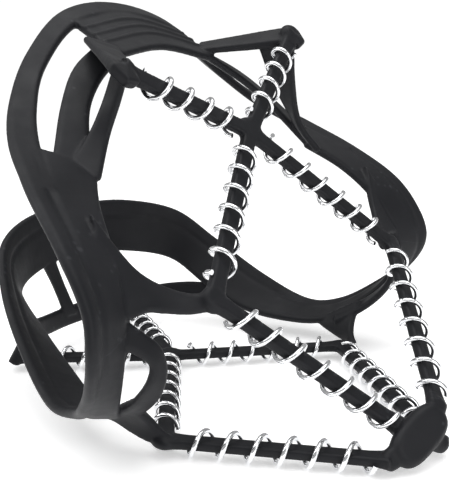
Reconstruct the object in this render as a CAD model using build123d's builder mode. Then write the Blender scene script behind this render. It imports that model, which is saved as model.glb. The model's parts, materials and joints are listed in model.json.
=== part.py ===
"""Pull-on ice cleat: an elastomer net and rim with steel traction coils threaded on the net's straps.

The cleat is modelled relaxed, as it lies when off the shoe: the heel half of the net is flat on the
ground and the forefoot half is curled up and back by the rim. +X points to the toe, +Z is up, and
the origin is on the ground, under the middle of the bounding box. Lengths are millimetres.
"""
from build123d import *
import os

os.makedirs("parts", exist_ok=True)

# ---- driving dimensions ----
COIL_PITCH = 7.0
COIL_OUTER_DIA = 7.5
WIRE_DIA = 1.25
STRAP_WIDTH = 4.2
STRAP_THICK = 2.4
STRAP_CORNER = 0.8
RIM_THICK = 2.3
EDGE_ROUND = 0.7
BEAD_WIDTH = 7.5        # outer band beside the toe window
PAD_DIA = 9.0           # pad where four straps cross
PAD_THICK = 3.4
TAB_END_DIA = 6.4       # pad where two straps meet a side tab
TAB_END_WIDTH = 5.0
TAB_END_THICK = 3.0
SLEEVE_WIDTH = 6.4      # thicker strap end at the four corners of the net
SLEEVE_THICK = 3.6
HUB_LENGTH = 15.0
HUB_WIDTH = 8.0
HUB_THICK = 4.2
HUB_CORNER = 3.0
RIB_DIA = 1.6
RIB_SHARES = (0.3, 0.5, 0.7)   # places of the ribs across the toe panel
HUB_OVERLAP = 2.5       # how far the two flat straps run on into the hub
FOLD_GAP = 1.7          # between the hub and the forefoot straps that flex about it
CROSSING_START = 3.4    # distance from a crossing's centre to its straps' ends
TAB_START = 2.6

# Distance from a node to the first turn of its coil
GAP_AT_HUB = 3.2
GAP_BEHIND_HUB = 7.0
GAP_AT_TAB = 5.5
GAP_AT_CROSSING = 6.0
GAP_AT_SLEEVE = 6.4
GAP_AT_FAR_HEEL = 9.8

# Ground to strap centre line, and hub to the middle of the bounding box
GROUND = COIL_OUTER_DIA / 2
HUB_X = 63.1


def at(x, y, z):
    """A point given from the middle of the hub's fold line, at the height of the flat straps."""
    return Vector(x + HUB_X, y, z + GROUND)


# ---- net: the points where straps meet ----
HUB_CENTRE = at(2.5, -8, 3.5)
HUB_TO_SIDE_NEAR = at(0, -17, 0)
HUB_TO_SIDE_FAR = at(5, -2, 0)
HUB_TO_BALL_NEAR = at(-2, -9, 4.5)
HUB_TO_BALL_FAR = at(3, 0, 8)
SIDE_NEAR = at(-46, -43, 0)
SIDE_FAR = at(-48, 39.5, 0)
REAR = at(-85, -2, 0)
HEEL_NEAR = at(-121, -35, 0)
HEEL_FAR = at(-132, 23, 0)
BALL_NEAR = at(-34, -38.5, 36.5)
BALL_FAR = at(-32, 40.5, 36)
FRONT = at(-55.5, 1.5, 71)
TOE_NEAR = at(-61, -39, 87)
TOE_FAR = at(-66.5, 35.5, 98)
HEEL_JOIN_NEAR = at(-119, -29.5, 8)    # where the net's heel corners rise to the rim
HEEL_JOIN_FAR = at(-125.5, 21, 7)

UP = Vector(0, 0, 1)
FORE_NORMAL = Vector(0.88, 0, 0.47)   # ground side of the curled forefoot net
BALL_NORMAL = Vector(0.74, 0, 0.68)

# ---- rim, half of it, from the middle of the toe to the middle of the heel ----
# Each station is the band's inner edge, which carries the net, and its free edge.
TOE_MIDDLE = ((-86, 0, 94), (-110, 0, 108))
TOE_BAND = [
    ((-84, 20, 91), (-109, 20, 104)),
    ((-80, 33, 80), (-105, 35, 93)),
    ((-73, 38, 72), (-93, 49, 80)),
    ((-66, 44, 64), (-78, 60, 71)),
]
BALL_BAND = [
    ((-66, 44, 64), (-78, 60, 71)),
    ((-58, 50, 58), (-62, 67, 63)),
    ((-47, 56, 48), (-46, 71, 51)),
    ((-42, 59, 39), (-37, 73, 39)),
    ((-40, 61, 31), (-36, 73, 31)),
]
RIM_FOLD = [
    ((-40, 61, 30), (-37, 73, 30)),
    ((-46, 58, 17), (-46, 68, 18)),
    ((-58, 46, 4), (-60, 60, 8)),
]
INNER_FOLD = [
    ((-36, 50, 31), (-36, 54, 33)),
    ((-36, 49, 20), (-36, 53, 20)),
    ((-48, 45, 6), (-50, 50, 8)),
]
HEEL_BAND = [
    ((-58, 46, 4), (-60, 60, 8)),
    ((-72, 43, 3), (-73, 57, 7)),
    ((-88, 38, 5), (-90, 52, 15)),
    ((-104, 35, 7), (-106, 46, 26)),
]
HEEL_UPPER = [
    ((-105, 41, 17), (-106, 46, 26)),
    ((-119, 33, 20), (-120, 36, 37)),
    ((-128, 19, 24), (-127, 20, 43)),
]
HEEL_LOWER = [
    ((-104, 35, 7), (-105, 38, 13)),
    ((-119, 29, 4), (-119, 30, 11)),
    ((-129, 16, 1), (-129, 17, 8)),
]
HEEL_MIDDLE_UPPER = ((-131, 0, 26), (-130, 0, 44))
HEEL_MIDDLE_LOWER = ((-132, 0, 1), (-132, 0, 8))
HEEL_WEB = [
    ((-130, 12, 26), (-129, 18, 26)),
    ((-131.5, 2, 6), (-131, 7, 6)),
]
TOE_WEB = [
    ((-84, 19, 91), (-92, 19, 95)),
    ((-78, 36, 78), (-84, 39, 81)),
    ((-66, 44, 63), (-71, 51, 67)),
]
TOE_SIDE_TOPS = {
    "near": ((-62, 37, 87), (-68, 35, 88)),
    "far": ((-65, 33.5, 96), (-71, 32, 97)),
}
TOE_SIDE = [
    ((-65, 39, 74), (-70, 40, 75)),
    ((-64, 45, 62), (-69, 48, 65)),
]
BALL_TAB = ((-52, 54, 52), (-40, 58, 37))
SIDE_TAB = ((-60, 46, 4), (-47, 49, 9))


def side_point(point, side):
    x, y, z = point
    return at(x, side * y, z)


def sections_of(stations, side):
    return [(side_point(inner, side), side_point(outer, side)) for inner, outer in stations]


def save(part, label):
    part.part.label = label
    export_step(part.part, f"parts/{label}.step")


def section_plane(inner, outer, along):
    """A plane across a band: local X from the inner edge to the outer, local Z along the band."""
    across = (outer - inner).normalized()
    forward = (along - across * along.dot(across)).normalized()
    return Plane(origin=(inner + outer) * 0.5, x_dir=across, z_dir=forward)


def section_planes(sections):
    """One plane for each section, facing along the band."""
    last = len(sections) - 1
    planes = []
    for i, (inner, outer) in enumerate(sections):
        before = sections[max(i - 1, 0)]
        after = sections[min(i + 1, last)]
        along = (after[0] + after[1]) - (before[0] + before[1])
        planes.append(section_plane(inner, outer, along))
    return planes


def band(label, sections):
    """A ribbon through pairs of edge points, as one ruled loft."""
    with BuildPart() as part:
        for plane, (inner, outer) in zip(section_planes(sections), sections):
            with BuildSketch(plane):
                RectangleRounded((outer - inner).length, RIM_THICK, EDGE_ROUND)
        loft(ruled=True)
    save(part, label)


def bar(label, start, end, normal, width, thick):
    """A straight rounded bar; normal is roughly the direction of its thickness."""
    along = (end - start).normalized()
    with BuildPart() as part:
        with BuildSketch(Plane(origin=start, x_dir=normal.cross(along).normalized(), z_dir=along)):
            RectangleRounded(width, thick, STRAP_CORNER)
        extrude(amount=(end - start).length)
    save(part, label)


def strap(label, start, end, normal, start_cut, end_cut):
    along = (end - start).normalized()
    bar(label, start + along * start_cut, end - along * end_cut, normal, STRAP_WIDTH, STRAP_THICK)


def coil(label, start, end, start_gap, end_gap):
    """A left-handed round-wire helix about the strap from start to end, short of each end by its gap."""
    along = (end - start).normalized()
    height = (end - start).length - start_gap - end_gap
    with BuildPart() as part:
        with BuildLine() as wire:
            first = start + along * start_gap
            Helix(COIL_PITCH, height, (COIL_OUTER_DIA - WIRE_DIA) / 2, first, along, lefthand=True)
        with BuildSketch(Plane(origin=wire.line @ 0, z_dir=wire.line % 0)):
            Circle(WIRE_DIA / 2)
        sweep(is_frenet=True)
    save(part, label)


def side_tab(label, root, node, normal):
    """A flat tab that narrows from the rim to the small pad where two straps meet."""
    inner, outer = root
    middle = (inner + outer) * 0.5
    with BuildPart() as part:
        with BuildSketch(section_plane(inner, outer, node - middle)):
            RectangleRounded((outer - inner).length, RIM_THICK, EDGE_ROUND)
        half_root = (outer - inner) * 0.5
        with BuildSketch(section_plane(node - half_root, node + half_root, node - middle)):
            RectangleRounded(TAB_END_WIDTH, RIM_THICK, EDGE_ROUND)
        loft()
        with BuildSketch(Plane(origin=node, z_dir=normal)):
            Circle(TAB_END_DIA / 2)
        extrude(amount=TAB_END_THICK / 2, both=True)
    save(part, label)


# ---- hub: the pad about which the cleat folds ----
hub_normal = (HUB_TO_BALL_FAR - HUB_TO_SIDE_NEAR).cross(HUB_TO_BALL_NEAR - HUB_TO_SIDE_FAR).normalized()
hub_length_axis = (HUB_TO_BALL_FAR - HUB_TO_SIDE_NEAR).normalized()
with BuildPart() as hub:
    with BuildSketch(Plane(origin=HUB_CENTRE, x_dir=hub_length_axis, z_dir=hub_normal)):
        RectangleRounded(HUB_LENGTH, HUB_WIDTH, HUB_CORNER)
    extrude(amount=HUB_THICK / 2, both=True)
    fillet(hub.edges().filter_by(lambda edge: abs((edge % 0.5).dot(hub_normal)) < 0.1), EDGE_ROUND)
save(hub, "hub")

# ---- crossing pads ----
for pad_label, centre, pad_normal in (("pad_front", FRONT, FORE_NORMAL), ("pad_rear", REAR, UP)):
    with BuildPart() as pad:
        with BuildSketch(Plane(origin=centre, z_dir=pad_normal)):
            Circle(PAD_DIA / 2)
        extrude(amount=PAD_THICK / 2, both=True)
        fillet(pad.edges(), EDGE_ROUND)
    save(pad, pad_label)

# ---- straps with their coils: name, ends, thickness direction, strap cuts, coil gaps ----
STRAPS = [
    ("hub_side_near", HUB_TO_SIDE_NEAR, SIDE_NEAR, UP,
        -HUB_OVERLAP, TAB_START, GAP_AT_HUB, GAP_AT_TAB),
    ("hub_side_far", HUB_TO_SIDE_FAR, SIDE_FAR, UP,
        -HUB_OVERLAP, TAB_START, GAP_BEHIND_HUB, GAP_AT_TAB),
    ("side_rear_near", SIDE_NEAR, REAR, UP,
        TAB_START, CROSSING_START, GAP_AT_TAB, GAP_AT_CROSSING),
    ("side_rear_far", SIDE_FAR, REAR, UP,
        TAB_START, CROSSING_START, GAP_AT_TAB, GAP_AT_CROSSING),
    ("rear_heel_near", REAR, HEEL_NEAR, UP,
        CROSSING_START, 0, GAP_AT_CROSSING, GAP_AT_SLEEVE),
    ("rear_heel_far", REAR, HEEL_FAR, UP,
        CROSSING_START, 0, GAP_AT_CROSSING, GAP_AT_FAR_HEEL),
    ("hub_ball_near", HUB_TO_BALL_NEAR, BALL_NEAR, BALL_NORMAL,
        FOLD_GAP, TAB_START, GAP_AT_HUB, GAP_AT_TAB),
    ("hub_ball_far", HUB_TO_BALL_FAR, BALL_FAR, BALL_NORMAL,
        FOLD_GAP, TAB_START, GAP_AT_HUB, GAP_AT_TAB),
    ("ball_front_near", BALL_NEAR, FRONT, FORE_NORMAL,
        TAB_START, CROSSING_START, GAP_AT_TAB, GAP_AT_CROSSING),
    ("ball_front_far", BALL_FAR, FRONT, FORE_NORMAL,
        TAB_START, CROSSING_START, GAP_AT_TAB, GAP_AT_CROSSING),
    ("front_toe_near", FRONT, TOE_NEAR, FORE_NORMAL,
        CROSSING_START, 0, GAP_AT_CROSSING, GAP_AT_SLEEVE),
    ("front_toe_far", FRONT, TOE_FAR, FORE_NORMAL,
        CROSSING_START, 0, GAP_AT_CROSSING, GAP_AT_SLEEVE),
]
for name, start, end, normal, start_cut, end_cut, start_gap, end_gap in STRAPS:
    strap(f"strap_{name}", start, end, normal, start_cut, end_cut)
    coil(f"coil_{name}", start, end, start_gap, end_gap)

# ---- toe panel with its ribs ----
def across_middle(stations, middle):
    """Sections from the near side's last station over the middle to the far side's last."""
    return [sections_of(stations, -1)[-1], sections_of([middle], 1)[0], sections_of(stations, 1)[-1]]


toe_sections = across_middle(TOE_BAND[:1], TOE_MIDDLE)
with BuildPart() as toe_panel:
    for plane, (inner, outer) in zip(section_planes(toe_sections), toe_sections):
        with BuildSketch(plane):
            RectangleRounded((outer - inner).length, RIM_THICK, EDGE_ROUND)
    loft(ruled=True)
    for share in RIB_SHARES:
        route = [inner + (outer - inner) * share + FORE_NORMAL for inner, outer in toe_sections]
        with BuildLine() as rib:
            Spline(*route)
        with BuildSketch(Plane(origin=rib.line @ 0, z_dir=rib.line % 0)):
            Circle(RIB_DIA / 2)
        sweep(path=rib.line)
save(toe_panel, "toe_panel")

# ---- heel panel: the band over the heel windows and the strap under them ----
band("heel_upper_middle", across_middle(HEEL_UPPER, HEEL_MIDDLE_UPPER))
band("heel_lower_middle", across_middle(HEEL_LOWER, HEEL_MIDDLE_LOWER))

# ---- the two sides of the rim ----
BALL_NODES = {"near": BALL_NEAR, "far": BALL_FAR}
SIDE_NODES = {"near": SIDE_NEAR, "far": SIDE_FAR}
TOE_NODES = {"near": TOE_NEAR, "far": TOE_FAR}
HEEL_ENDS = {"near": (HEEL_NEAR, HEEL_JOIN_NEAR), "far": (HEEL_FAR, HEEL_JOIN_FAR)}
for name, side in (("near", -1), ("far", 1)):
    toe = sections_of(TOE_BAND, side)
    bead = [(outer + (inner - outer).normalized() * BEAD_WIDTH, outer) for inner, outer in toe]
    band(f"rim_toe_{name}", bead)
    band(f"web_toe_{name}", sections_of(TOE_WEB, side))
    band(f"side_toe_{name}", sections_of([TOE_SIDE_TOPS[name]] + TOE_SIDE, side))
    band(f"rim_ball_{name}", sections_of(BALL_BAND, side))
    band(f"rim_fold_{name}", sections_of(RIM_FOLD, side))
    band(f"inner_fold_{name}", sections_of(INNER_FOLD, side))
    band(f"rim_heel_{name}", sections_of(HEEL_BAND, side))
    band(f"heel_upper_{name}", sections_of(HEEL_UPPER, side))
    band(f"heel_lower_{name}", sections_of(HEEL_LOWER, side))
    band(f"web_heel_{name}", sections_of(HEEL_WEB, side))
    side_tab(f"tab_ball_{name}", sections_of([BALL_TAB], side)[0], BALL_NODES[name], FORE_NORMAL)
    side_tab(f"tab_side_{name}", sections_of([SIDE_TAB], side)[0], SIDE_NODES[name], UP)
    bar(f"sleeve_toe_{name}", toe[0][0], TOE_NODES[name], FORE_NORMAL, SLEEVE_WIDTH, SLEEVE_THICK)
    corner, join = HEEL_ENDS[name]
    foot = corner - UP * SLEEVE_THICK / 2
    bar(f"sleeve_heel_{name}", foot, join, REAR - corner, SLEEVE_WIDTH, SLEEVE_THICK)
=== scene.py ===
import json
import math

import bmesh
import bpy
import numpy as np
from mathutils import Matrix, Vector


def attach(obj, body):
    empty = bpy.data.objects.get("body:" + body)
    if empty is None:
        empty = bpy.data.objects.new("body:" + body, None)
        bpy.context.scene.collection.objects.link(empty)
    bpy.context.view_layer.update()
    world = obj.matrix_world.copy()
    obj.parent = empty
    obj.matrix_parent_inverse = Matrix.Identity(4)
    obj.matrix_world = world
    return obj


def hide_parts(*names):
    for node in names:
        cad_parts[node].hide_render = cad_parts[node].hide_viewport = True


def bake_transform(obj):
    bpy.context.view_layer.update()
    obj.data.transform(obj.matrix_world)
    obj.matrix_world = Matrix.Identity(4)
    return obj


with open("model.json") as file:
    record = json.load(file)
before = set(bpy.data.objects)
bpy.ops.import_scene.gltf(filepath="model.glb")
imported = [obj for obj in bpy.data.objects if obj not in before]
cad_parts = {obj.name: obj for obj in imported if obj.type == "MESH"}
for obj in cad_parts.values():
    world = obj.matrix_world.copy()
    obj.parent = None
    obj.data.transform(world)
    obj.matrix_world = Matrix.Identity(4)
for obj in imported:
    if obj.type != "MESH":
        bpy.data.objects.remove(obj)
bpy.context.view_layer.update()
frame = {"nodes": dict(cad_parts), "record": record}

# ---- the moulding's driving sizes, in millimetres ----
STRAP_WIDTH = 4.3
STRAP_THICK = 2.5
STRAP_CORNER = 0.6
FLARE_WIDTH = 1.2       # a strap widens and thickens this much as it reaches a pad
FLARE_THICK = 0.4
FLARE_LENGTH = 2.4
BAND_THICK = 2.2
RIM_THICK = 2.7         # the rim's own band is a little thicker than the webs
BEAD_WIDTH = 8.0        # rim band beside the toe and its windows
CREASE_DEPTH = 0.45
CREASE_REACH = 0.8      # half the crease's breadth, where it has faded to a third
CREASE_SHARE = 0.7      # the crease's place across a band, from its inner to its free edge
RIB_RADIUS = 1.0
RIB_RISE = 0.9          # of the ribs' middles over the toe panel's middle
RIB_SHARES = (0.28, 0.44, 0.6)
PANEL_STEPS = 14
RIM_STEPS = 8
HUB_PAD = (18.2, 9.6, 3.8)          # pads: length, width and thickness
HUB_ARM = (5.0, 3.0)                # bars: width and thickness
HUB_ARM_PAD = (4.8, 4.8, 2.8)
HUB_PAD_POWER = 2.8
CROSSING_PAD = (8.6, 8.6, 3.0)
TAB_PAD = (6.6, 6.6, 2.8)
FAR_TOE_PAD = (7.6, 7.6, 3.8)
TOE_SLEEVE = (9.6, 2.0)             # at its root on the toe panel
TOE_SLEEVE_CHANGE = (-2.4, 1.6)     # from there to its end
TOE_SLEEVE_ROOT = 0.3               # share of the panel's side, from its inner corner
HEEL_SLEEVE = (6.4, 3.4)
HEEL_SLEEVE_SINK = 1.6              # its foot below the net's corner
VOXEL = 0.4
SMOOTH_ROUNDS = 5

# ---- places, in millimetres from the middle of the hub's fold line, as in the CAD source ----
HUB_LINE = np.array([63.1, 0.0, 3.75])
POINTS = {
    "hub": (2.5, -8, 3.5),
    "hub_side_near": (0, -17, 0),
    "hub_side_far": (5, -2, 0),
    "hub_ball_near": (-2, -9, 4.5),
    "hub_ball_far": (3, 0, 8),
    "side_near": (-46, -43, 0),
    "side_far": (-48, 39.5, 0),
    "rear": (-85, -2, 0),
    "heel_near": (-121, -35, 0),
    "heel_far": (-132, 23, 0),
    "heel_join_near": (-119, -29.5, 8),
    "heel_join_far": (-125.5, 21, 7),
    "ball_near": (-34, -38.5, 36.5),
    "ball_far": (-32, 40.5, 36),
    "front": (-55.5, 1.5, 71),
    "toe_near": (-61, -39, 87),
    "toe_far": (-66.5, 35.5, 98),
}
POINTS = {name: np.array(place, float) for name, place in POINTS.items()}
UP = np.array([0.0, 0.0, 1.0])
BALL_NORMAL = np.array([0.74, 0.0, 0.68])
FORE_NORMAL = np.array([0.88, 0.0, 0.47])
PANEL_NORMAL = (0.476, 0.0, 0.879)
STRAPS = [
    ("hub_side_near", "side_near", UP),
    ("hub_side_far", "side_far", UP),
    ("side_near", "rear", UP),
    ("side_far", "rear", UP),
    ("rear", "heel_near", UP),
    ("rear", "heel_far", UP),
    ("hub_ball_near", "ball_near", BALL_NORMAL),
    ("hub_ball_far", "ball_far", BALL_NORMAL),
    ("ball_near", "front", FORE_NORMAL),
    ("ball_far", "front", FORE_NORMAL),
    ("front", "toe_near", FORE_NORMAL),
    ("front", "toe_far", FORE_NORMAL),
]

# Each station is a band's inner edge and its free edge, for the side where y is positive.
TOE_MIDDLE = ((-86, 0, 94), (-110, 0, 108))
TOE_BAND = [
    ((-84, 20, 91), (-108, 20, 104)),
    ((-80, 33, 80), (-103, 36, 92)),
    ((-73, 38, 72), (-93, 49, 80)),
    ((-66, 44, 64), (-78, 60, 71)),
    ((-58, 50, 58), (-62, 67, 62)),
]
RIM_SIDE = [
    ((-66, 44, 64), (-78, 60, 71)),
    ((-57, 51, 57), (-62, 67, 62)),
    ((-49, 55, 49), (-47, 71, 52)),
    ((-43, 58, 40), (-38, 72, 41)),
    ((-40.5, 60, 31), (-36, 73, 32)),
    ((-41.5, 60, 22), (-40, 71, 24)),
    ((-47, 56, 13), (-49, 66, 16)),
    ((-58, 47, 5), (-60, 60, 9)),
    ((-72, 43, 3), (-73, 57.5, 7)),
    ((-88, 38, 5), (-90, 52.5, 15)),
    ((-104, 35.5, 12), (-107, 46, 27)),
    ((-119, 33, 20), (-119, 37, 38)),
    ((-128, 19, 24), (-128, 20, 43)),
]
HEEL_MIDDLE = ((-131, 0, 26), (-130, 0, 44))
HEEL_LOWER = [
    ((-90, 37.5, 5), (-91, 42, 9)),
    ((-104, 35, 5), (-105, 38, 12)),
    ((-119, 29, 3.5), (-119, 30, 11)),
    ((-129, 16, 1), (-129, 17, 8)),
    ((-132, 0, 1), (-132, 0, 8)),
]
HEEL_WEB = [
    ((-129.5, 12, 28), (-128.5, 18.5, 28)),
    ((-130.5, 7.5, 17), (-130, 12.5, 17)),
    ((-131.5, 2, 5), (-131, 7.5, 5)),
]
TOE_WEB = [
    ((-84, 19, 91), (-93, 19, 95)),
    ((-80, 30, 84), (-87, 33, 88)),
    ((-75, 38, 76), (-80, 43, 79)),
    ((-66, 45, 64), (-72, 52, 68)),
]
TOE_SIDE_TOPS = {
    "near": [((-61, 38, 87), (-69, 34, 88)), ((-64, 38, 79), (-69.5, 38, 80))],
    "far": [((-64, 34, 96.5), (-76, 31, 96)), ((-65, 36, 84), (-74, 36.5, 84))],
}
TOE_SIDE = [
    ((-65.5, 40, 71), (-70, 43, 72)),
    ((-62, 46, 62), (-69, 50, 65)),
]
BALL_TAB = [
    ((-52, 58, 57), (-41.5, 62.5, 35)),
    ((-47.9, 54, 48.5), (-40, 57.5, 35.5)),
    ((-44.5, 51, 43.5), (-39.6, 53.5, 36)),
    ((-41, 47, 40.3), (-38.6, 49.5, 35)),
    ((-37.5, 42.6, 38.4), (-36.6, 44.2, 33.8)),
    ((-34.5, 39, 38.5), (-33.8, 40, 34)),
]
INNER_FOLD = [
    ((-43, 59, 36.5), (-40.5, 63.5, 31)),
    ((-40, 56, 33), (-38.5, 59.5, 28.8)),
    ((-37.7, 52.5, 29.2), (-37.3, 57, 26.8)),
    ((-37, 51, 25), (-37.2, 55.5, 24.5)),
    ((-37.5, 50.5, 20.5), (-39, 55.3, 20.5)),
    ((-41, 49.3, 15), (-42.6, 54.6, 16.5)),
    ((-47, 48, 9.5), (-47.5, 53.5, 12.5)),
    ((-54, 45, 5), (-56, 52, 8)),
]
SIDE_TAB = [
    ((-63, 48, 3.5), (-47.5, 51, 13)),
    ((-60, 46.5, 2.5), (-47.5, 48.5, 9)),
    ((-55.5, 46, 1), (-47, 46, 6)),
    ((-50.5, 45.5, -0.3), (-46, 43.8, 3)),
    ((-47, 44.6, -0.8), (-44, 42, 1)),
]

# ---- where the two bodies meet ----
HINGE_HEIGHT = 6.0
FOLD_NORMAL = np.array([0.515, 0.0, 0.857])
FOLD_START = -13.4      # along FOLD_NORMAL from the hinge's axis: the heel body ends here
FOLD_END = 2.9          # and the forefoot body starts here
FOLD_SIDE = 45.0        # the folds lie beyond this distance from the middle
SLEEVE_END = 1.8        # past the corner, along the net's strap
NECK_START = 0.9        # along a forefoot strap from the hub
NECK_END = 3.0
NECK_RADIUS = 5.0
HUB_REACH = -20.0       # beyond this, the heel and forefoot parts are told apart by the fold alone

MM = 0.001


def unit(v):
    return v / np.linalg.norm(v, axis=-1, keepdims=True)


def to_frame(points):
    """Millimetres from the hub's fold line to metres in the row frame."""
    return (np.array(points, float) + HUB_LINE) * MM


def mirrored(stations, side):
    return [tuple(np.array(p, float) * (1, side, 1) for p in station) for station in stations]


def smooth_path(points, steps):
    """Points on a Catmull-Rom curve through the given ones."""
    pts = np.array(points, float)
    count = len(pts)
    path = []
    for i in range(count - 1):
        p1, p2 = pts[i], pts[i + 1]
        p0 = pts[i - 1] if i else 2 * p1 - p2
        p3 = pts[i + 2] if i + 2 < count else 2 * p2 - p1
        for t in np.arange(steps) / steps:
            path.append(0.5 * (2 * p1 + (p2 - p0) * t + (2 * p0 - 5 * p1 + 4 * p2 - p3) * t ** 2
                               + (3 * p1 - p0 - 3 * p2 + p3) * t ** 3))
    path.append(pts[-1])
    return np.array(path)


def band_outline(width, thick, crease, arc=5, along=16):
    """A band's section as (across, up) from its inner edge, with round edges and a crease."""
    half = thick / 2
    outline = []
    for k in range(arc + 1):
        angle = math.pi / 2 - math.pi * k / arc
        outline.append((width - half + half * math.cos(angle), half * math.sin(angle)))
    flat = [width - half + (thick - width) * k / along for k in range(1, along)]

    def dip(x):
        return crease * math.exp(-((x - width * CREASE_SHARE) / CREASE_REACH) ** 2)

    outline += [(x, -half + dip(x)) for x in flat]
    for k in range(arc + 1):
        angle = -math.pi / 2 - math.pi * k / arc
        outline.append((half + half * math.cos(angle), half * math.sin(angle)))
    outline += [(x, half - dip(x)) for x in reversed(flat)]
    return outline


class Moulding:
    """Closed skins, in millimetres from the hub's fold line, that are merged into one moulding."""

    def __init__(self):
        self.verts = []
        self.faces = []

    def skin(self, rings):
        """A closed skin over a row of rings that all have the same number of points."""
        base, size, count = len(self.verts), len(rings[0]), len(rings)
        for ring in rings:
            self.verts.extend(ring)
        for i in range(count - 1):
            a, b = base + i * size, base + (i + 1) * size
            for k in range(size):
                n = (k + 1) % size
                self.faces.append((a + k, a + n, b + n, b + k))
        self.faces.append(tuple(base + k for k in reversed(range(size))))
        self.faces.append(tuple(base + (count - 1) * size + k for k in range(size)))

    def band(self, stations, thick=BAND_THICK, crease=0.0, steps=6):
        """A round-edged band through stations that each give its inner and its free edge."""
        inner = smooth_path([s[0] for s in stations], steps)
        outer = smooth_path([s[1] for s in stations], steps)
        middle = (inner + outer) / 2
        tangent = np.gradient(middle, axis=0)
        across = unit(outer - inner)
        normal = unit(np.cross(tangent, across))
        widths = np.linalg.norm(outer - inner, axis=1)
        rings = []
        for i, width in enumerate(widths):
            rings.append([inner[i] + across[i] * x + normal[i] * z
                          for x, z in band_outline(width, thick, crease)])
        self.skin(rings)

    def bar(self, path, normal, widths, thicks, corner=STRAP_CORNER, arc=3):
        """A rounded bar along a path, with its width and thickness given at each point of it."""
        path = np.array(path, float)
        tangent = unit(np.gradient(path, axis=0))
        normals = np.broadcast_to(normal, path.shape)
        rings = []
        for centre, along, facing, width, thick in zip(path, tangent, normals, widths, thicks):
            across = unit(np.cross(facing, along))
            up = np.cross(along, across)
            ring = []
            for quadrant, (sx, sy) in enumerate(((1, 1), (-1, 1), (-1, -1), (1, -1))):
                for k in range(arc + 1):
                    angle = (quadrant + k / arc) * math.pi / 2
                    x = sx * (width / 2 - corner) + corner * math.cos(angle)
                    y = sy * (thick / 2 - corner) + corner * math.sin(angle)
                    ring.append(centre + across * x + up * y)
            rings.append(ring)
        self.skin(rings)

    def strap(self, start, end, normal):
        """A strap that widens a little where it runs into the pads at its ends."""
        shares = np.linspace(0, 1, 25)
        length = np.linalg.norm(end - start)
        flare = np.exp(-(np.minimum(shares, 1 - shares) * length / FLARE_LENGTH) ** 2)
        path = [start + (end - start) * share for share in shares]
        widths = STRAP_WIDTH + FLARE_WIDTH * flare
        self.bar(path, normal, widths, STRAP_THICK + FLARE_THICK * flare)

    def pad(self, centre, normal, long_axis, length, width, thick, power=2.4, around=32):
        """A pillow-edged pad whose outline is a superellipse."""
        normal = unit(normal)
        axis_a = unit(long_axis - normal * long_axis.dot(normal))
        axis_b = np.cross(normal, axis_a)
        rings = []
        for tilt in np.linspace(-1, 1, 11) * math.pi / 2 * 0.96:
            inset = thick / 2 * (1 - math.cos(tilt))
            ring = []
            for k in range(around):
                angle = 2 * math.pi * k / around
                c, s = math.cos(angle), math.sin(angle)
                reach = (abs(c) ** power + abs(s) ** power) ** (-1 / power)
                ring.append(centre + axis_a * (length / 2 - inset) * reach * c
                            + axis_b * (width / 2 - inset) * reach * s
                            + normal * thick / 2 * math.sin(tilt))
            rings.append(ring)
        self.skin(rings)

    def mesh(self, name):
        data = bpy.data.meshes.new(name)
        data.from_pydata([tuple(p) for p in to_frame(self.verts)], [], self.faces)
        bm = bmesh.new()
        bm.from_mesh(data)
        bmesh.ops.triangulate(bm, faces=[f for f in bm.faces if len(f.verts) > 4])
        bmesh.ops.recalc_face_normals(bm, faces=bm.faces)
        bm.to_mesh(data)
        bm.free()
        return data


def add_rim(solid):
    """The rim: a plain bead about the toe, then a creased band round each side and the heel."""
    def bead(station):
        inner, outer = (np.array(p, float) for p in station)
        return outer + unit(inner - outer) * BEAD_WIDTH, outer

    far = [bead(s) for s in mirrored(TOE_BAND, 1)]
    near = [bead(s) for s in mirrored(TOE_BAND, -1)]
    solid.band(near[::-1] + [bead(TOE_MIDDLE)] + far, RIM_THICK, steps=RIM_STEPS)
    far, near = mirrored(RIM_SIDE, 1), mirrored(RIM_SIDE, -1)
    heel_middle = tuple(np.array(p, float) for p in HEEL_MIDDLE)
    solid.band(far + [heel_middle] + near[::-1], RIM_THICK, CREASE_DEPTH, steps=RIM_STEPS)


def add_toe_panel(solid):
    """The panel over the toes, with its ribs."""
    side = TOE_BAND[0]
    stations = [mirrored([side], -1)[0], mirrored([TOE_MIDDLE], 1)[0], mirrored([side], 1)[0]]
    solid.band(stations, steps=PANEL_STEPS)
    for share in RIB_SHARES:
        route = [inner + (outer - inner) * share for inner, outer in stations]
        path = smooth_path(route, PANEL_STEPS) + FORE_NORMAL * RIB_RISE
        sizes = 2 * RIB_RADIUS * np.ones(len(path))
        solid.bar(path, FORE_NORMAL, sizes, sizes, corner=RIB_RADIUS * 0.95)


def add_corners(solid, side, name):
    """The thick strap ends at the net's toe and heel corners, on one side."""
    inner, outer = (np.array(p, float) * (1, side, 1) for p in TOE_BAND[0])
    toe = POINTS[f"toe_{name}"]
    root = inner + (outer - inner) * TOE_SLEEVE_ROOT
    end = toe + unit(POINTS["front"] - toe) * SLEEVE_END
    path = smooth_path([root, (root + toe) / 2, toe, end], 6)
    shares = np.linspace(0, 1, len(path))
    facing = np.outer(1 - shares, unit(np.array(PANEL_NORMAL))) + np.outer(shares, FORE_NORMAL)
    widths, thicks = (at_root + change * shares
                      for at_root, change in zip(TOE_SLEEVE, TOE_SLEEVE_CHANGE))
    solid.bar(path, facing, widths, thicks, corner=0.9)
    if name == "far":
        solid.pad(toe, FORE_NORMAL, UP, *FAR_TOE_PAD)
    shares = np.linspace(0, 1, 9)
    foot = POINTS[f"heel_{name}"] - UP * HEEL_SLEEVE_SINK
    join = POINTS[f"heel_join_{name}"]
    path = [foot + (join - foot) * share for share in shares]
    widths, thicks = (size * np.ones(len(shares)) for size in HEEL_SLEEVE)
    solid.bar(path, POINTS["rear"] - POINTS[f"heel_{name}"], widths, thicks, corner=1.2)


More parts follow.
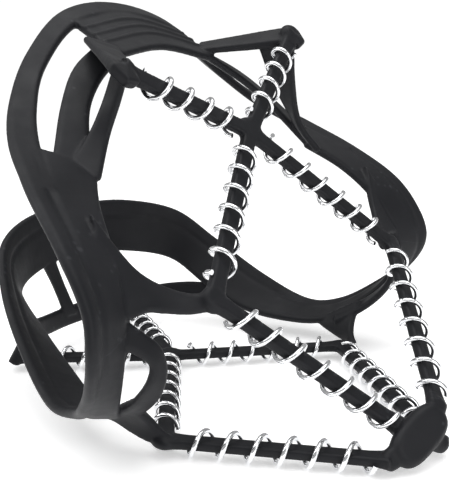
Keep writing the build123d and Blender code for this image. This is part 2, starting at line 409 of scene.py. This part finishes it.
def add_net(solid):
    """The straps under the sole, the hub, and the pads where straps meet."""
    for start, end, normal in STRAPS:
        solid.strap(POINTS[start], POINTS[end], normal)
    long_axis = POINTS["hub_ball_far"] - POINTS["hub_side_near"]
    short_axis = POINTS["hub_ball_near"] - POINTS["hub_side_far"]
    hub_normal = np.cross(long_axis, short_axis)
    solid.pad(POINTS["hub"], hub_normal, long_axis, *HUB_PAD, power=HUB_PAD_POWER)
    for arm in ("hub_side_near", "hub_side_far", "hub_ball_near", "hub_ball_far"):
        path = smooth_path([POINTS["hub"], (POINTS["hub"] + POINTS[arm]) / 2, POINTS[arm]], 5)
        widths, thicks = (size * np.ones(len(path)) for size in HUB_ARM)
        solid.bar(path, hub_normal, widths, thicks, corner=1.3)
        solid.pad(POINTS[arm], hub_normal, long_axis, *HUB_ARM_PAD)
    solid.pad(POINTS["front"], FORE_NORMAL, UP, *CROSSING_PAD)
    solid.pad(POINTS["rear"], UP, FORE_NORMAL, *CROSSING_PAD)
    for side in ("near", "far"):
        solid.pad(POINTS[f"ball_{side}"], FORE_NORMAL, UP, *TAB_PAD)
        solid.pad(POINTS[f"side_{side}"], UP, FORE_NORMAL, *TAB_PAD)


def make_moulding():
    """All the moulding's skins, still overlapping, as one object."""
    solid = Moulding()
    add_rim(solid)
    add_toe_panel(solid)
    add_net(solid)
    for side, name in ((-1, "near"), (1, "far")):
        add_corners(solid, side, name)
        toe_side = TOE_SIDE_TOPS[name] + TOE_SIDE
        for stations in (TOE_WEB, toe_side, HEEL_WEB, INNER_FOLD, BALL_TAB, SIDE_TAB):
            solid.band(mirrored(stations, side))
    lower = mirrored(HEEL_LOWER, 1) + mirrored(HEEL_LOWER, -1)[-2::-1]
    solid.band(lower)
    moulding = bpy.data.objects.new("moulding", solid.mesh("moulding"))
    bpy.context.scene.collection.objects.link(moulding)
    return moulding


def melt(obj):
    """Merges the overlapping skins into one and softens the corners between them."""
    remesh = obj.modifiers.new("remesh", "REMESH")
    remesh.mode = "VOXEL"
    remesh.voxel_size = VOXEL * MM
    remesh.adaptivity = 0.0
    smooth = obj.modifiers.new("smooth", "SMOOTH")
    smooth.factor = 0.5
    smooth.iterations = SMOOTH_ROUNDS
    graph = bpy.context.evaluated_depsgraph_get()
    data = bpy.data.meshes.new_from_object(obj.evaluated_get(graph))
    obj.modifiers.clear()
    obj.data = data


# ---- cutting the moulding where the two bodies meet ----
def centres_of(bm):
    """Face centres, in millimetres from the hub's fold line."""
    return np.array([f.calc_center_median()[:] for f in bm.faces]) / MM - HUB_LINE


def fold_place(points):
    """How far beyond the hinge's axis points are, along the fold."""
    return (points - (0, 0, HINGE_HEIGHT)) @ FOLD_NORMAL


def neck_axis(name):
    start = POINTS[f"hub_ball_{name}"]
    return start, unit(POINTS[f"ball_{name}"] - start)


def neck_place(points, name):
    """How far along a neck's strap points are, and how far from the strap's line."""
    start, along = neck_axis(name)
    offset = points - start
    place = offset @ along
    return place, np.linalg.norm(offset - place[:, None] * along, axis=1)


def plane_cut(bm, point, normal, chosen):
    """Splits the chosen faces along a plane."""
    faces = [f for f, wanted in zip(bm.faces, chosen) if wanted]
    edges = list({e for f in faces for e in f.edges})
    verts = list({v for f in faces for v in f.verts})
    bmesh.ops.bisect_plane(bm, geom=verts + edges + faces, dist=1e-7,
                           plane_co=tuple(to_frame(point)), plane_no=tuple(normal))


def regions_of(points):
    """The name of the piece that each point of the moulding belongs to."""
    place = fold_place(points)
    outside = np.abs(points[:, 1]) > FOLD_SIDE
    upper = place > (FOLD_START + FOLD_END) / 2
    fold = outside & (place > FOLD_START) & (place < FOLD_END)
    near_side = points[:, 1] < 0
    beyond = np.zeros(len(points), bool)
    names = np.full(len(points), "moulding_heel", dtype="<U20")
    for name in ("near", "far"):
        along, distance = neck_place(points, name)
        beyond |= (along > NECK_END) & (distance < NECK_RADIUS)
    away_from_hub = outside | (points[:, 0] < HUB_REACH)
    names[np.where(away_from_hub, upper, beyond)] = "moulding_forefoot"
    names[fold & near_side] = "fold_near"
    names[fold & ~near_side] = "fold_far"
    for name in ("near", "far"):
        along, distance = neck_place(points, name)
        names[(along > NECK_START) & (along < NECK_END) & (distance < NECK_RADIUS)] = f"neck_{name}"
    return names


def split_moulding(obj):
    """Cuts the one skin into closed pieces whose shared edges and shading stay exactly matched."""
    bm = bmesh.new()
    bm.from_mesh(obj.data)
    for place in (FOLD_START, FOLD_END):
        chosen = np.abs(centres_of(bm)[:, 1]) > FOLD_SIDE - 3
        plane_cut(bm, FOLD_NORMAL * place + (0, 0, HINGE_HEIGHT), FOLD_NORMAL, chosen)
    for name in ("near", "far"):
        start, direction = neck_axis(name)
        for place in (NECK_START, NECK_END):
            along, distance = neck_place(centres_of(bm), name)
            chosen = (distance < NECK_RADIUS) & (np.abs(along - place) < NECK_RADIUS)
            plane_cut(bm, start + direction * place, direction, chosen)
    bm.normal_update()
    bm.verts.index_update()
    bm.verts.ensure_lookup_table()
    names = regions_of(centres_of(bm))
    faces = np.array(bm.faces, dtype=object)
    pieces = {}
    for name in sorted(set(names)):
        members = [[v.index for v in f.verts] for f in faces[names == name]]
        indices = sorted({i for face in members for i in face})
        new_index = {old: new for new, old in enumerate(indices)}
        data = bpy.data.meshes.new(name)
        data.from_pydata([bm.verts[i].co[:] for i in indices], [],
                         [[new_index[i] for i in face] for face in members])
        pieces[name] = close_ends(data, name, [bm.verts[i].normal[:] for i in indices])
    bm.free()
    bpy.data.objects.remove(obj)
    return pieces


def close_ends(data, name, normals):
    """Fills a piece's open ends, and keeps the whole skin's shading on the rest of it."""
    bm = bmesh.new()
    bm.from_mesh(data)
    skin_faces = len(bm.faces)
    filled = bmesh.ops.holes_fill(bm, edges=[e for e in bm.edges if e.is_boundary], sides=0)
    bmesh.ops.triangulate(bm, faces=filled["faces"])
    bm.to_mesh(data)
    bm.free()
    data.polygons.foreach_set("use_smooth", [True] * len(data.polygons))
    loop_normals = []
    for polygon in data.polygons:
        if polygon.index < skin_faces:
            loop_normals += [normals[vertex] for vertex in polygon.vertices]
        else:
            loop_normals += [tuple(polygon.normal)] * len(polygon.vertices)
    data.normals_split_custom_set(loop_normals)
    piece = bpy.data.objects.new(name, data)
    bpy.context.scene.collection.objects.link(piece)
    return piece


# ---- materials ----
class Nodes:
    """A short way to build a material's node tree."""

    def __init__(self, name):
        self.material = bpy.data.materials.new(name)
        self.material.use_nodes = True
        self.tree = self.material.node_tree
        self.shader = self.tree.nodes["Principled BSDF"]

    def add(self, kind, inputs=None, **settings):
        node = self.tree.nodes.new(kind)
        for key, value in settings.items():
            setattr(node, key, value)
        for key, value in (inputs or {}).items():
            if isinstance(value, bpy.types.NodeSocket):
                self.tree.links.new(value, node.inputs[key])
            else:
                node.inputs[key].default_value = value
        return node

    def noise(self, scale, detail=3.0, roughness=0.5, distortion=0.0):
        place = self.add("ShaderNodeTexCoord").outputs["Object"]
        inputs = {"Vector": place, "Scale": scale, "Detail": detail, "Roughness": roughness,
                  "Distortion": distortion}
        return self.add("ShaderNodeTexNoise", inputs).outputs["Fac"]

    def ramp(self, factor, stops):
        node = self.add("ShaderNodeValToRGB", {"Fac": factor})
        while len(node.color_ramp.elements) < len(stops):
            node.color_ramp.elements.new(0.5)
        for element, (position, color) in zip(node.color_ramp.elements, stops):
            element.position = position
            element.color = (*color, 1.0)
        return node.outputs["Color"]

    def to_range(self, value, low, high, start=0.0, end=1.0):
        inputs = {"Value": value, "From Min": start, "From Max": end, "To Min": low, "To Max": high}
        return self.add("ShaderNodeMapRange", inputs).outputs["Result"]

    def mix(self, factor, first, second, blend="MIX"):
        node = self.add("ShaderNodeMix", data_type="RGBA", blend_type=blend)
        for key, value in ((0, factor), (6, first), (7, second)):
            if isinstance(value, bpy.types.NodeSocket):
                self.tree.links.new(value, node.inputs[key])
            else:
                node.inputs[key].default_value = value
        return node.outputs[2]

    def bump(self, height, distance, strength=1.0, normal=None):
        inputs = {"Height": height, "Distance": distance, "Strength": strength}
        if normal is not None:
            inputs["Normal"] = normal
        return self.add("ShaderNodeBump", inputs).outputs["Normal"]

    def finish(self, links, values):
        for key, socket in links.items():
            self.tree.links.new(socket, self.shader.inputs[key])
        for key, value in values.items():
            self.shader.inputs[key].default_value = value
        return self.material


RUBBER_DARK = (0.0062, 0.0066, 0.0085)
RUBBER_LIGHT = (0.0098, 0.0102, 0.0126)
# lighter colour of the painted highlight on the moulding's edges
RUBBER_EDGE_HIGHLIGHT = (0.027, 0.028, 0.032, 1.0)
STEEL_DULL = (0.78, 0.79, 0.81)
STEEL_BRIGHT = (0.93, 0.935, 0.945)
FLOOR_SHADE = (0.9, 0.9, 0.905)
FLOOR_PALE = (0.93, 0.93, 0.93)
WHITE = (1.0, 1.0, 1.0, 1.0)


def elastomer_material():
    """Satin charcoal elastomer: moulded grain, faint bloom, and a painted highlight that lightens
    its edges in patches.
    """
    nodes = Nodes("elastomer")
    cloud = nodes.noise(55.0, detail=4.0)
    base = nodes.ramp(cloud, [(0.3, RUBBER_DARK), (0.7, RUBBER_LIGHT)])
    # Painted highlight: convex edges (high pointiness) are mixed towards a lighter colour, broken
    # into patches by fine noise.
    edge = nodes.add("ShaderNodeNewGeometry").outputs["Pointiness"]
    edge_highlight_mask = nodes.to_range(edge, 0.0, 1.0, 0.53, 0.62)
    highlight_patches = nodes.to_range(nodes.noise(900.0, detail=5.0, roughness=0.65), 0.25, 1.0, 0.35, 0.7)
    painted_edge_highlight = nodes.add("ShaderNodeMath", {0: edge_highlight_mask, 1: highlight_patches}, operation="MULTIPLY").outputs[0]
    color = nodes.mix(painted_edge_highlight, base, RUBBER_EDGE_HIGHLIGHT)
    rough = nodes.to_range(nodes.noise(160.0, detail=4.0), 0.46, 0.6, 0.3, 0.7)
    grain = nodes.bump(nodes.noise(5200.0, detail=2.0), 0.00004, 0.55)
    flow = nodes.bump(nodes.noise(260.0, detail=3.0), 0.00012, 0.35, grain)
    return nodes.finish(
        {"Base Color": color, "Roughness": rough, "Normal": flow},
        {"IOR": 1.5, "Specular IOR Level": 0.22, "Sheen Weight": 0.01, "Sheen Roughness": 0.5},
    )


def steel_material():
    """Bright drawn spring wire: fine drawing marks, and slightly dulled in patches."""
    nodes = Nodes("coil_steel")
    patches = nodes.noise(420.0, detail=4.0)
    color = nodes.ramp(patches, [(0.3, STEEL_DULL), (0.7, STEEL_BRIGHT)])
    rough = nodes.to_range(nodes.noise(1500.0, detail=3.0), 0.07, 0.19, 0.35, 0.7)
    marks = nodes.bump(nodes.noise(7000.0, detail=1.0), 0.00001, 0.35)
    links = {"Base Color": color, "Roughness": rough, "Normal": marks}
    return nodes.finish(links, {"Metallic": 1.0})


def floor_material():
    """Pale floor, lifted by a little light of its own so that it meets the backdrop unseen."""
    nodes = Nodes("floor")
    color = nodes.ramp(nodes.noise(6.0), [(0.3, FLOOR_SHADE), (0.7, FLOOR_PALE)])
    values = {"Roughness": 0.32, "Specular IOR Level": 0.35, "Emission Color": WHITE,
              "Emission Strength": 0.42}
    return nodes.finish({"Base Color": color}, values)


def put_on(obj, material):
    obj.data.materials.clear()
    obj.data.materials.append(material)


# ---- stage ----
CAMERA_PLACE = (0.13314, -0.15622, 0.08757)
CAMERA_YAW = 40.56      # degrees turned to the left of +Y
CAMERA_PITCH = 12.38    # degrees down
CAMERA_ROLL = -0.38
CAMERA_LENS = 53.8
BACKDROP_LIGHT = 0.4    # the backdrop's light on the object
BACKDROP_SEEN = 1.05    # and its brightness to the camera
FLOOR_SIZE = 6.0
LIGHTS_TARGET = (0.0, 0.0, 0.05)
AREA_LIGHTS = [         # name, place, size, watts
    ("top", (0.1, 0.1, 0.75), (0.7, 0.5), 1.7),
    ("left", (-0.5, -0.5, 0.5), (0.25, 0.5), 1.9),
    ("right", (0.65, -0.15, 0.3), (0.2, 0.5), 1.2),
]
FILL_STRENGTH = 1.5
FILL_SPREAD = 70        # degrees
FILL_TILT = (12, -8)    # degrees about x and y


def add_camera():
    data = bpy.data.cameras.new("camera")
    data.sensor_width = 36.0
    data.lens = CAMERA_LENS
    data.clip_start = 0.005
    camera = bpy.data.objects.new("camera", data)
    turn = Matrix.Rotation(math.radians(CAMERA_YAW), 4, "Z")
    tilt = Matrix.Rotation(math.radians(90 - CAMERA_PITCH), 4, "X")
    roll = Matrix.Rotation(math.radians(CAMERA_ROLL), 4, "Z")
    camera.matrix_world = Matrix.Translation(CAMERA_PLACE) @ turn @ tilt @ roll
    bpy.context.scene.collection.objects.link(camera)
    bpy.context.scene.camera = camera


def add_area_light(name, place, target, size, power):
    data = bpy.data.lights.new(name, "AREA")
    data.shape = "RECTANGLE"
    data.size, data.size_y = size
    data.energy = power
    light = bpy.data.objects.new(name, data)
    light.location = place
    light.rotation_euler = (Vector(target) - Vector(place)).to_track_quat("-Z", "Y").to_euler()
    bpy.context.scene.collection.objects.link(light)


def add_stage():
    bpy.ops.mesh.primitive_plane_add(size=FLOOR_SIZE)
    floor = bpy.context.object
    floor.name = "floor"
    put_on(floor, floor_material())
    add_world()
    bpy.context.scene.view_settings.view_transform = "Standard"
    for name, place, size, power in AREA_LIGHTS:
        add_area_light(name, place, LIGHTS_TARGET, size, power)
    data = bpy.data.lights.new("fill", "SUN")
    data.energy = FILL_STRENGTH
    data.angle = math.radians(FILL_SPREAD)
    fill = bpy.data.objects.new("fill", data)
    fill.rotation_euler = (*(math.radians(tilt) for tilt in FILL_TILT), 0.0)
    bpy.context.scene.collection.objects.link(fill)


def add_world():
    """A white backdrop whose light on the object is softer than it looks to the camera."""
    world = bpy.data.worlds.new("studio")
    world.use_nodes = True
    tree = world.node_tree
    background = tree.nodes["Background"]
    background.inputs["Color"].default_value = WHITE
    path = tree.nodes.new("ShaderNodeLightPath")
    strength = tree.nodes.new("ShaderNodeMapRange")
    strength.inputs["To Min"].default_value = BACKDROP_LIGHT
    strength.inputs["To Max"].default_value = BACKDROP_SEEN
    tree.links.new(path.outputs["Is Camera Ray"], strength.inputs["Value"])
    tree.links.new(strength.outputs["Result"], background.inputs["Strength"])
    bpy.context.scene.world = world


# ---- the object ----
moulding = make_moulding()
melt(moulding)
pieces = split_moulding(moulding)
rubber = elastomer_material()
steel = steel_material()
bodies = frame["record"]["behaviour"]["bodies"]
folds = [n for n in bodies["heel"] if n.startswith(("rim_fold", "inner_fold"))]

for name, piece in pieces.items():
    put_on(piece, rubber)
for name, node in frame["nodes"].items():
    put_on(node, steel if name.startswith("coil_") else rubber)

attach(pieces["moulding_heel"], "heel")
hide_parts(*[n for n in bodies["heel"] if n not in folds])
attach(pieces["moulding_forefoot"], "forefoot")
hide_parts(*bodies["forefoot"])
for name in ("near", "far"):
    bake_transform(pieces[f"fold_{name}"])
    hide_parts(f"rim_fold_{name}", f"inner_fold_{name}")
    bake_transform(pieces[f"neck_{name}"])

add_stage()
add_camera()
